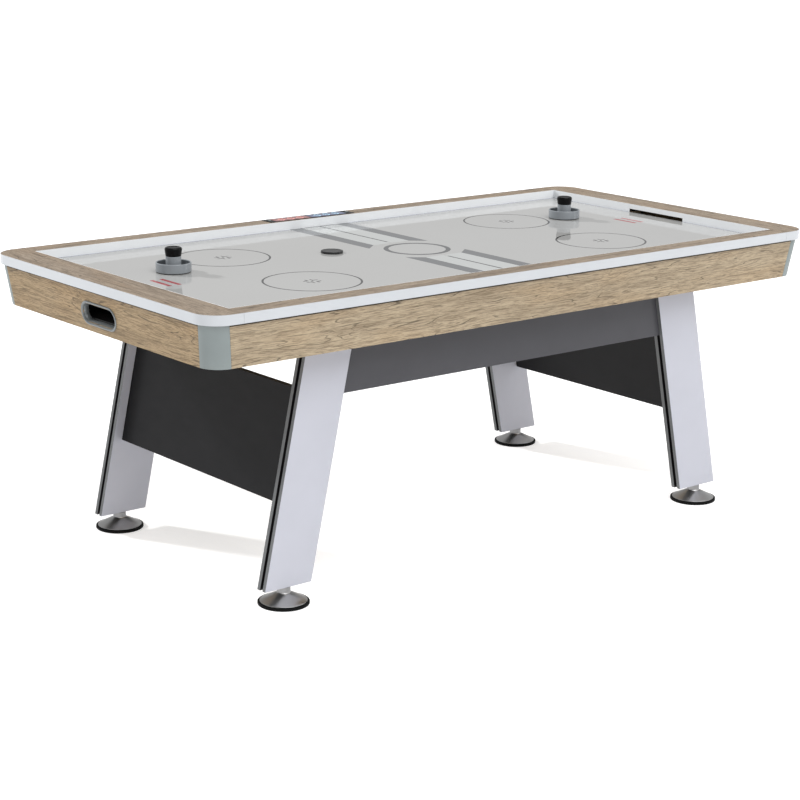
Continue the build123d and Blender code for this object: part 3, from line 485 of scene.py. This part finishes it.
def lathe(name, profile, centre, paints, body, nodes, sides=96, choose=None):
    """A turned piece: profile is radius-height pairs and starts and ends on the axis."""
    shape = bmesh.new()
    rings = []
    for radius, height in profile:
        if radius == 0:
            rings.append([shape.verts.new((centre[0], centre[1], height))])
            continue
        points = ring_points(*centre, radius, sides)
        rings.append([shape.verts.new((x, y, height)) for x, y in points])
    for index, (low, high) in enumerate(zip(rings, rings[1:])):
        for k in range(sides):
            n = (k + 1) % sides
            corners = [low[k % len(low)], low[n % len(low)], high[n % len(high)], high[k % len(high)]]
            face = shape.faces.new(list(dict.fromkeys(corners)))
            face.material_index = choose(index) if choose else 0
    bmesh.ops.recalc_face_normals(shape, faces=shape.faces)
    made = solid(name, shape, paints, 30.0)
    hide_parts(*nodes)
    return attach(made, body)


def rounded(profile, radius, steps=4):
    """The profile with its corners rounded; a corner is left sharp on the axis."""
    result = []
    for index, point in enumerate(profile):
        if index in (0, len(profile) - 1):
            result.append(point)
            continue
        here = Vector(point)
        before, after = Vector(profile[index - 1]) - here, Vector(profile[index + 1]) - here
        cut = min(radius, before.length * 0.45, after.length * 0.45)
        start, end = here + before.normalized() * cut, here + after.normalized() * cut
        for k in range(steps + 1):
            t = k / steps
            result.append(tuple(start * (1 - t) ** 2 + here * 2 * t * (1 - t) + end * t * t))
    return result


def plate(name, outline, bottom, thick, paint, body, holes=()):
    """A thin flat piece from closed X-Y outlines; holes are outlines too."""
    curve = bpy.data.curves.new(name, "CURVE")
    curve.dimensions = "2D"
    curve.fill_mode = "BOTH"
    curve.extrude = thick / 2
    for points in (outline, *holes):
        spline = curve.splines.new("POLY")
        spline.points.add(len(points) - 1)
        for target, (x, y) in zip(spline.points, points):
            target.co = (x, y, 0, 1)
        spline.use_cyclic_u = True
    drawn = new_object(name, curve)
    drawn.location.z = bottom + thick / 2
    bpy.context.view_layer.update()
    evaluated = drawn.evaluated_get(bpy.context.evaluated_depsgraph_get())
    mesh = bpy.data.meshes.new_from_object(evaluated)
    mesh.transform(drawn.matrix_world)
    bpy.data.objects.remove(drawn)
    shape = bmesh.new()
    shape.from_mesh(mesh)
    bmesh.ops.remove_doubles(shape, verts=shape.verts, dist=1e-7)
    bmesh.ops.recalc_face_normals(shape, faces=shape.faces)
    shape.to_mesh(mesh)
    shape.free()
    mesh.materials.clear()
    mesh.materials.append(PAINTS[paint])
    made = new_object(name, mesh)
    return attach(made, body)


def ring_points(x, y, radius, count):
    turns = [tau * k / count for k in range(count)]
    return [(x + radius * cos(turn), y + radius * sin(turn)) for turn in turns]


def rectangle(x_from, x_to, y_from, y_to):
    return [(x_from, y_from), (x_to, y_from), (x_to, y_to), (x_from, y_to)]


# ---- camera, light and floor ---------------------------------------------------------
CAMERA_PLACE = (-3.720, -4.528, 1.846)
CAMERA_TURN, CAMERA_TILT, CAMERA_ROLL = -38.975, -14.403, 0.623    # degrees
CAMERA_LENS = 93.72
DOME_STRENGTH = 0.5
FLOOR_GLOW = 0.48
FLOOR_REACH = 60.0
KEY_LIGHT = ((0.0, -0.8, 1.0), 2.1, 50.0)       # the way to it, strength, width in degrees
FAR_LIGHT = ((-0.38, 0.93, 0.5), 2.7, 5.0)
GLARE_WIDTH = 20.0                              # a light as narrow as this is not mirrored
STRIP_PLACE = Vector((3.6, -2.6, 1.6))
STRIP_SIZE = (0.5, 1.8)
STRIP_POWER = 16.0


def set_camera():
    data = bpy.data.cameras.new("camera")
    data.lens = CAMERA_LENS
    data.sensor_width = 36.0
    data.clip_end = 200.0
    camera = new_object("camera", data)
    turn = Matrix.Rotation(radians(CAMERA_TURN), 4, "Z")
    tilt = Matrix.Rotation(radians(90 + CAMERA_TILT), 4, "X")
    roll = Matrix.Rotation(radians(CAMERA_ROLL), 4, "Z")
    camera.matrix_world = Matrix.Translation(CAMERA_PLACE) @ turn @ tilt @ roll
    bpy.context.scene.camera = camera


def soft_sun(name, towards, strength, angle):
    """Even light from a disc in the given direction; a narrow one makes no glare."""
    data = bpy.data.lights.new(name, "SUN")
    data.energy = strength
    data.angle = radians(angle)
    lit = new_object(name, data)
    lit.rotation_euler = Vector(towards).to_track_quat("Z", "Y").to_euler()
    lit.visible_glossy = angle > GLARE_WIDTH


def set_world():
    world = bpy.data.worlds.new("studio")
    bpy.context.scene.world = world
    world.use_nodes = True
    tree = world.node_tree
    backdrop = tree.nodes["Background"]
    seen = tree.nodes.new("ShaderNodeLightPath").outputs["Is Camera Ray"]
    strength = tree.nodes.new("ShaderNodeMapRange")
    tree.links.new(seen, strength.inputs["Value"])
    strength.inputs["To Min"].default_value = DOME_STRENGTH
    strength.inputs["To Max"].default_value = 1.0
    tree.links.new(strength.outputs["Result"], backdrop.inputs["Strength"])
    backdrop.inputs["Color"].default_value = (1.0, 1.0, 1.0, 1.0)
    view = bpy.context.scene.view_settings
    view.view_transform = "Standard"
    view.look = "None"


def set_lights():
    soft_sun("key_light", *KEY_LIGHT)
    soft_sun("far_light", *FAR_LIGHT)
    strip = bpy.data.lights.new("strip_light", "AREA")
    strip.shape = "RECTANGLE"
    strip.size, strip.size_y = STRIP_SIZE
    strip.energy = STRIP_POWER
    panel = new_object("strip_light", strip)
    panel.location = STRIP_PLACE
    back = STRIP_PLACE - Vector((0, 0, RAIL_TOP))
    panel.rotation_euler = back.to_track_quat("Z", "Y").to_euler()


def set_floor():
    """A white floor that glows a little, so that it meets the backdrop without an edge."""
    mesh = bpy.data.meshes.new("floor")
    corners = rectangle(-FLOOR_REACH, FLOOR_REACH, -FLOOR_REACH, FLOOR_REACH)
    mesh.from_pydata([(x, y, 0) for x, y in corners], [], [(0, 1, 2, 3)])
    floor = new_object("floor", mesh)
    paint = Paint("floor_paint", Roughness=0.9)
    tone = paint.ramp(paint.noise(paint.place, 0.6, 2.0), [(0.3, grey(0.74)), (0.7, grey(0.76))])
    mesh.materials.append(paint.finish(
        Base_Color=tone,
        Specular_IOR_Level=0.0,
        Emission_Color=(1, 1, 1),
        Emission_Strength=FLOOR_GLOW,
    ))


# ---- cabinet, rails and playfield ----------------------------------------------------
def make_cabinet():
    refine("playfield", ["field", "board"], 0.4 * MM,
           lambda polygon: 0 if polygon.normal.z > 0.9 else 1)
    for side in ("near", "far"):
        refine(f"apron_{side}", ["oak_apron_x"], 0.8 * MM)
        refine(f"side_rail_{side}", ["oak_top_x"], 0.5 * MM)
        refine(f"stretcher_{side}", ["charcoal"], 0.6 * MM)
    for end in ENDS:
        refine(f"apron_{end}", ["oak_apron_y"], 0.8 * MM)
        refine(f"end_rail_{end}", ["oak_top_y"], 0.5 * MM)
        # the end panels take the darker charcoal: painted shade under the cabinet
        refine(f"end_panel_{end}", ["charcoal_in_shade"], 0.8 * MM)
    refine("edge_bands", ["white"], 0.5 * MM)
    # the liners' brighter white is painted light
    refine("side_liners", ["liner"], 0.3 * MM)
    refine("goal_liners", ["liner"], 0.3 * MM)
    refine("corner_covers", ["grey"], 1.0 * MM)
    refine("return_boxes", ["black"], 0.5 * MM)
    refine("bottom_board", ["board"], 0.5 * MM)


BEZEL_SECTION = (    # mm in from the flange's edge, mm out from the apron
    (0.0, 0.0), (0.0, 1.2), (0.5, 2.2), (1.5, 2.85), (2.6, 2.98), (3.8, 2.7), (4.8, 1.9), (5.6, 0.6),
    (8.6, -4.5), (9.6, -7.5), (9.9, -11.0), (9.9, -14.9), (8.1, -14.9), (8.1, -8.0), (7.0, -0.02),
)


def make_bezels():
    """Rounded rims of the puck returns, each swept round its opening and running back into it."""
    shape = bmesh.new()
    turns = 16
    for side in (-1, 1):
        across = Vector((0, side, 0))
        outward = Vector((side * cos(APRON_LEAN), 0, -sin(APRON_LEAN)))
        up = outward.cross(across)
        middle = Vector((side * RETURN_FACE_X, 0, RETURN_HEIGHT))
        half_run = (RETURN_FLANGE[0] - RETURN_FLANGE[1]) / 2
        half_height = RETURN_FLANGE[1] / 2
        rings = []
        for end in (1, -1):
            for k in range(turns + 1):
                angle = -pi / 2 + pi * k / turns if end > 0 else pi / 2 + pi * k / turns
                ring = []
                for inset, height in BEZEL_SECTION:
                    reach = half_height - inset * MM
                    spot = middle + across * (end * half_run + reach * cos(angle))
                    spot = spot + up * (reach * sin(angle)) + outward * (height * MM)
                    ring.append(shape.verts.new(spot))
                rings.append(ring)
        for ring, following in zip(rings, rings[1:] + rings[:1]):
            for k in range(len(ring)):
                n = (k + 1) % len(ring)
                shape.faces.new((ring[k], ring[n], following[n], following[k]))
    bmesh.ops.recalc_face_normals(shape, faces=shape.faces)
    made = solid("return_bezels_finished", shape, ["bezel"], 50.0)
    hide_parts("return_bezels")
    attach(made, "table")


# ---- printed markings and painted shade along the seams ------------------------------
INK = 0.06 * MM
INK_LIFT = 0.01 * MM                            # gap under a mark, so that faces don't meet
RING_SIDES = 160
DOT_SIDES = 24
MARK_MARGIN = 2 * MM                            # marks stop this far inside the liners' box
CENTRE_RING = (95.9 * MM, 14.0 * MM)            # outer radius, width
FACE_OFF = (525.3 * MM, 208.2 * MM)
FACE_OFF_RING = (133.2 * MM, 5.6 * MM)
FACE_OFF_DOT = 3.5 * MM
BAR_X = (65.0 * MM, 109.0 * MM)
BAR_END_Y = (118.0 * MM, 82.0 * MM)
LINE_WIDTH = 7.0 * MM
LINE_END_Y = 137.0 * MM
FIELD_SEAM = 3.0 * MM                           # width of the painted shade along the joint at the liners' foot
LINER_FOOT = 1.6 * MM                           # the liners' thickness and a hair
GOAL_LINES = ((825.0 * MM, 837.0 * MM), (855.0 * MM, 867.0 * MM))
GOAL_LINE_REACH = 46.0 * MM
SEAM_GAP_Y = 118.0 * MM                         # the seam stops at the goal slots


def mark(name, outline, paint, holes=()):
    """A mark lying on the playfield; most are print, the seam lines are painted shade."""
    bottom = FIELD_TOP + INK_LIFT
    return plate(name, outline, bottom, INK, paint, "table", holes)


def make_markings():
    edge = LINER_HIGH.y - MARK_MARGIN
    outer, width = CENTRE_RING
    hole = ring_points(0, 0, outer - width, RING_SIDES)
    mark("centre_ring", ring_points(0, 0, outer, RING_SIDES), "ink_ring", [hole])
    for side, sy in (("near", -1), ("far", 1)):
        half = LINE_WIDTH / 2
        line = rectangle(-half, half, sy * LINE_END_Y, sy * edge)
        mark(f"centre_line_{side}", line, "ink_dark")
        for end, sx in (("left", -1), ("right", 1)):
            bar = [
                (sx * BAR_X[0], sy * BAR_END_Y[0]),
                (sx * BAR_X[1], sy * BAR_END_Y[1]),
                (sx * BAR_X[1], sy * edge),
                (sx * BAR_X[0], sy * edge),
            ]
            mark(f"bar_{side}_{end}", bar, "ink_grey")
            zone = rectangle(sx * half, sx * BAR_X[0], sy * BAR_END_Y[0], sy * edge)
            mark(f"centre_zone_{side}_{end}", zone, "ink_pale")
            x, y = sx * FACE_OFF[0], sy * FACE_OFF[1]
            radius, line_width = FACE_OFF_RING
            ring = ring_points(x, y, radius, RING_SIDES)
            hole = ring_points(x, y, radius - line_width, RING_SIDES)
            mark(f"face_off_ring_{side}_{end}", ring, "ink_dark", [hole])
            dot = ring_points(x, y, FACE_OFF_DOT, DOT_SIDES)
            mark(f"face_off_dot_{side}_{end}", dot, "ink_dark")
            make_brackets(f"face_off_mark_{side}_{end}", x, y)
    # The seams along the side liners are painted shade in the corner at the liners' foot.
    for side, sy in (("near", -1), ("far", 1)):
        inner, outer = LINER_HIGH.y - FIELD_SEAM - LINER_FOOT, LINER_HIGH.y - LINER_FOOT
        strip = rectangle(-WELL_X, WELL_X, sy * inner, sy * outer)
        mark(f"field_seam_{side}", strip, "seam_shade")
    for end, sx in (("left", -1), ("right", 1)):
        for index, (start, stop) in enumerate(GOAL_LINES):
            across = rectangle(sx * start, sx * stop, -GOAL_LINE_REACH, GOAL_LINE_REACH)
            mark(f"goal_line_{end}_{index + 1}", across, "ink_red")
        # The seams along the goal liners are painted shade too.
        for side, sy in (("near", -1), ("far", 1)):
            inner, outer = sx * (WELL_X - FIELD_SEAM), sx * (WELL_X - 0.5 * MM)
            seam = rectangle(inner, outer, sy * SEAM_GAP_Y, sy * (edge - FIELD_SEAM))
            mark(f"end_seam_{end}_{side}", seam, "seam_shade")


def make_brackets(name, x, y):
    """Four small corner marks round a face-off spot."""
    near = 6.0 * MM
    arm = 17.0 * MM
    line = 4.4 * MM
    for index, (sx, sy) in enumerate(((-1, -1), (1, -1), (1, 1), (-1, 1))):
        corner = [
            (near, near), (near + arm, near), (near + arm, near + line),
            (near + line, near + line), (near + line, near + arm), (near, near + arm),
        ]
        points = [(x + sx * a, y + sy * b) for a, b in corner]
        mark(f"{name}_{index + 1}", points, "ink_dark")


# ---- legs and feet -------------------------------------------------------------------
LEG_GAP_Y = (395.0 * MM, 408.0 * MM)     # the two boards of a leg face each other here


def leg_board_paint(polygon):
    """Pale on the broad outer faces, grey on the edges, and black on the faces in the gap as painted
    shade between the two boards.
    """
    if abs(polygon.normal.y) < 0.7:
        return 1
    # black here is painted shade: the boards' facing sides sit in the dark gap
    return 2 if LEG_GAP_Y[0] < abs(polygon.center.y) < LEG_GAP_Y[1] else 0


def make_legs():
    for corner in CORNERS:
        refine(f"leg_boards_{corner}", ["pale", "pale_edge", "black"], 0.5 * MM,
               leg_board_paint)
    refine("leg_cores", ["black"], 0.0)
    refine("leg_brackets", ["zinc"], 0.5 * MM)
    refine("leg_screws", ["zinc"], 0.6 * MM)
    refine("leg_inserts", ["zinc"], 0.0)


NECK_RING = 28      # the neck of the cone begins at this ring of its rounded profile; from here it is painted darker as painted shade


def make_foot(corner):
    low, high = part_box(f"foot_pad_{corner}")
    centre = ((low.x + high.x) / 2, (low.y + high.y) / 2)
    radius = (high.x - low.x) / 2
    top = high.z
    body = f"foot_{corner}"
    pad = [
        (0, 0), (radius - 2.0 * MM, 0), (radius, 1.6 * MM), (radius, top * 0.42),
        (radius - 0.9 * MM, top * 0.5), (radius, top * 0.58), (radius, top - 1.2 * MM),
        (radius - 1.5 * MM, top), (0, top),
    ]
    lathe(f"foot_pad_{corner}_finished", rounded(pad, 0.6 * MM), centre, ["rubber"],
          body, [f"foot_pad_{corner}"])
    cone_low, cone_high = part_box(f"foot_cone_{corner}")
    rim = (cone_high.x - cone_low.x) / 2
    neck = 18.0 * MM
    neck_foot = 31.5 * MM
    bore = 5.3 * MM
    seat = top + 5 * MM
    crown = cone_high.z
    cone = [
        (0, top + HAIR), (rim, top + HAIR), (rim, top + 1.6 * MM), (rim - 2.5 * MM, top + 2.4 * MM),
        (neck + 9 * MM, neck_foot - 4.0 * MM), (neck + 1.2 * MM, neck_foot),
        (neck, neck_foot + 1.6 * MM), (neck, crown - 0.8 * MM), (neck - 0.8 * MM, crown),
        (bore, crown), (bore, seat), (0, seat),
    ]
    metal = spun_metal(f"spun_metal_{corner}", centre, (0.52, 0.52, 0.52), 0.3)
    # The neck is the same spun metal painted darker: painted shade under the leg.
    shaded_neck_metal = spun_metal(f"shaded_neck_metal_{corner}", centre, (0.3, 0.3, 0.305), 0.36)
    lathe(f"foot_cone_{corner}_finished", rounded(cone, 1.4 * MM), centre, [metal, shaded_neck_metal],
          body, [f"foot_cone_{corner}"],
          choose=lambda index: 1 if index >= NECK_RING else 0)
    make_stem(corner, centre)


def make_stem(corner, centre):
    """The levelling stem, with a real helical thread that fades out at both ends."""
    low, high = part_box(f"leveler_stem_{corner}")
    radius = (high.x - low.x) / 2
    pitch, depth = 1.5 * MM, 0.75 * MM
    fade_run = 2 * MM
    sides, steps = 24, 12    # round the stem, and along it for each turn of the thread
    rows = int((high.z - low.z) / pitch * steps)
    shape = bmesh.new()
    rings = []
    for row in range(rows + 1):
        z = low.z + (high.z - low.z) * row / rows
        fade = max(0.0, min(1.0, (high.z - z) / fade_run, (z - low.z) / fade_run))
        ring = []
        for k in range(sides):
            turn = tau * k / sides
            phase = (row / steps - k / sides) % 1.0
            reach = radius - depth * abs(2 * phase - 1) * fade - (1 - fade) * depth
            spot = (centre[0] + reach * cos(turn), centre[1] + reach * sin(turn), z)
            ring.append(shape.verts.new(spot))
        rings.append(ring)
    for lower, upper in zip(rings, rings[1:]):
        for k in range(sides):
            n = (k + 1) % sides
            shape.faces.new((lower[k], lower[n], upper[n], upper[k]))
    shape.faces.new(rings[0][::-1])
    shape.faces.new(rings[-1])
    made = solid(f"leveler_stem_{corner}_finished", shape, ["zinc"], 40.0)
    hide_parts(f"leveler_stem_{corner}")
    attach(made, f"stem_{corner}")


# ---- pushers and puck ----------------------------------------------------------------
CUP_RINGS = range(30, 47)    # rings of the cup's rounded profile that are inside the bowl, where painted shade goes


def make_pusher(end):
    low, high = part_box(f"pusher_base_{end}")
    centre = ((low.x + high.x) / 2, (low.y + high.y) / 2)
    radius = (high.x - low.x) / 2
    base = low.z
    felt_low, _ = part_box(f"pusher_felt_{end}")
    cap_low, cap_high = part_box(f"pusher_cap_{end}")
    bowl, post = radius - 4 * MM, 21 * MM
    rim = felt_low.z + 27 * MM
    floor = felt_low.z + 8 * MM
    cup = [
        (0, base + HAIR), (radius - 0.8 * MM, base + HAIR), (radius, base + 1.0 * MM),
        (radius, rim - 1.5 * MM), (radius - 1.5 * MM, rim), (bowl + 1.2 * MM, rim),
        (bowl, rim - 1.5 * MM), (bowl, floor + 5 * MM), (bowl - 5 * MM, floor),
        (post + 4 * MM, floor), (post, floor + 5 * MM), (post, high.z), (0, high.z),
    ]
    body = f"pusher_{end}"
    # The bowl's rings take the darker paint: painted shade inside the cup.
    lathe(f"pusher_base_{end}_finished", rounded(cup, 1.2 * MM), centre,
          ["pusher_grey", "pusher_painted_shade"], body, [f"pusher_base_{end}"], 128,
          lambda index: 1 if index in CUP_RINGS else 0)
    top = cap_high.z
    wide = (cap_high.x - cap_low.x) / 2
    foot = cap_low.z + 0.05 * MM
    cap = [
        (0, foot), (post - 0.3 * MM, foot), (post + 0.2 * MM, cap_low.z + 2 * MM),
        (wide, top - 6.5 * MM), (wide - 0.4 * MM, top - 3.0 * MM), (wide - 3.0 * MM, top - 0.3 * MM),
        (wide - 5.5 * MM, top - 0.1 * MM), (wide - 8.5 * MM, top - 1.6 * MM), (0, top - 1.9 * MM),
    ]
    lathe(f"pusher_cap_{end}_finished", rounded(cap, 1.4 * MM), centre, ["gloss_black"],
          body, [f"pusher_cap_{end}"])
    felt_radius = radius - 1 * MM
    pad = [(0, felt_low.z), (felt_radius, felt_low.z), (felt_radius, base), (0, base)]
    lathe(f"pusher_felt_{end}_finished", rounded(pad, 0.5 * MM), centre, ["felt"],
          body, [f"pusher_felt_{end}"])


def make_puck():
    low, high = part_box("puck")
    centre = ((low.x + high.x) / 2, (low.y + high.y) / 2)
    radius = (high.x - low.x) / 2
    dish = radius - 6 * MM
    profile = [
        (0, low.z + 0.5 * MM), (dish, low.z + 0.5 * MM), (dish + 1 * MM, low.z),
        (radius - 1 * MM, low.z),
        (radius, low.z + 1 * MM), (radius, high.z - 1 * MM), (radius - 1 * MM, high.z),
        (dish + 1 * MM, high.z), (dish, high.z - 0.5 * MM), (0, high.z - 0.5 * MM),
    ]
    lathe("puck_finished", rounded(profile, 0.5 * MM), centre, ["puck_black"],
          "puck", ["puck"])


# ---- scorer --------------------------------------------------------------------------
NOUGHT = {    # the lit segments of a nought: widths across, half heights up, upright or not
    "top": (0, 1, False), "upper_left": (-0.5, 0.5, True), "upper_right": (0.5, 0.5, True),
    "lower_left": (-0.5, -0.5, True), "lower_right": (0.5, -0.5, True), "bottom": (0, -1, False),
}
FIGURE_SHIFTS = (-34 * MM, 0.0, 34 * MM)
FIGURE_TALL = 24 * MM
FIGURE_THICK = 0.15 * MM


def make_nought(name, x, y, z, paint):
    """A seven-segment nought, read from the near side of the table."""
    tall = FIGURE_TALL
    wide, bar = tall * 0.5, tall * 0.1
    for segment, (across, up, upright) in NOUGHT.items():
        cx, cy = x + across * wide, y + up * tall / 2
        long_side = (tall / 2 if upright else wide) - bar * 0.7
        half_x, half_y = (bar / 2, long_side / 2) if upright else (long_side / 2, bar / 2)
        tip = bar * 0.4
        left, right, low, high = cx - half_x, cx + half_x, cy - half_y, cy + half_y
        if upright:
            outline = [
                (left, low + tip), (cx, low), (right, low + tip),
                (right, high - tip), (cx, high), (left, high - tip),
            ]
        else:
            outline = [
                (left, cy), (left + tip, low), (right - tip, low),
                (right, cy), (right - tip, high), (left + tip, high),
            ]
        plate(f"{name}_{segment}", outline, z, FIGURE_THICK, paint, "table")


def make_scorer():
    refine("scorer_housing", ["black"], 0.6 * MM)
    for end in ENDS:
        refine(f"scorer_button_{end}", ["grey"], 0.2 * MM)
    refine("scorer_board", ["circuit"], 0.0)
    for colour in ("red", "blue"):
        node = f"scorer_window_{colour}"
        refine(node, [f"{colour}_window"], 0.4 * MM)
        low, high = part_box(node)
        middle = (low + high) / 2
        for index, shift in enumerate(FIGURE_SHIFTS):
            make_nought(f"figure_{colour}_{index + 1}", middle.x + shift, middle.y, high.z,
                        f"{colour}_lamp")


# ---- works under the table -----------------------------------------------------------
def make_works():
    refine("cabinet_battens", ["board"], 0.0)
    refine("goal_sensors", ["black"], 0.4 * MM)
    refine("blower_housing", ["black"], 0.5 * MM)
    refine("blower_motor", ["zinc"], 0.5 * MM)
    refine("blower_impeller", ["black"], 0.3 * MM)
    refine("power_inlet", ["black"], 0.5 * MM)
    refine("power_switch", ["gloss_black"], 0.5 * MM)


set_camera()
set_world()
set_lights()
set_floor()
make_cabinet()
make_bezels()
make_markings()
make_legs()
for corner in CORNERS:
    make_foot(corner)
for end in ENDS:
    make_pusher(end)
make_puck()
make_scorer()
make_works()
